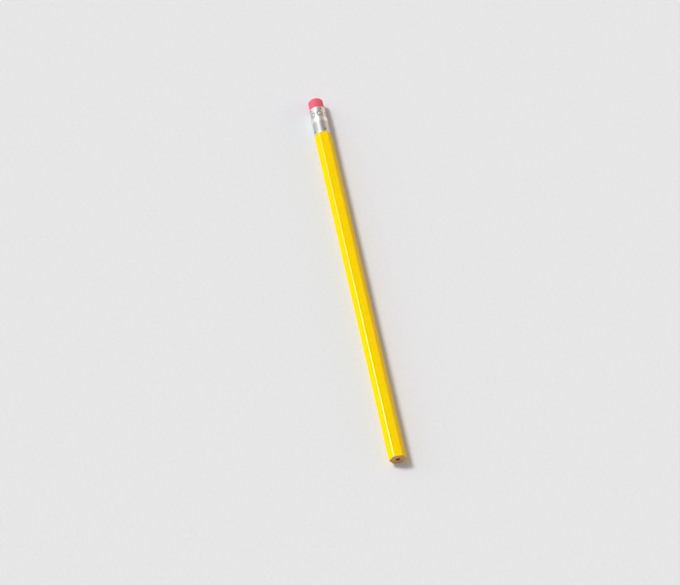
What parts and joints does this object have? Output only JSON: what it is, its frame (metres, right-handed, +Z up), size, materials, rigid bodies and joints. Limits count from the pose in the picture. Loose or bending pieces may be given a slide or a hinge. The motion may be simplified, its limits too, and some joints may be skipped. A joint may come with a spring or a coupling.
{
  "type": "graphite pencil",
  "caption": "Unsharpened wood-cased graphite pencil with a yellow lacquered hexagonal body, a crimped aluminium ferrule and a pink rubber eraser.",
  "frame": {"origin": "under the middle of the pencil's length, at the height of the ferrule's rims, its lowest points", "axes": "+X along the pencil towards the eraser, +Z up, square to the flat that it rests on, +Y to the left of +X"},
  "size_m": [0.19, 0.0078, 0.0074],
  "materials": {
    "casing_wood": "raw sawn end grain",
    "glue": "cured translucent",
    "graphite": "matt dark grey with a metallic sheen",
    "yellow_lacquer": "glossy",
    "ferrule_aluminium": "bright, lightly scratched",
    "eraser_rubber": "matt"
  },
  "bodies": {
    "root": {"upper_slat": "casing_wood", "lower_slat": "casing_wood", "left_glue_line": "glue", "right_glue_line": "glue", "graphite_core": "graphite", "lacquer_coat": "yellow_lacquer", "ferrule": "ferrule_aluminium", "eraser": "eraser_rubber"}
  },
  "joints": []
}
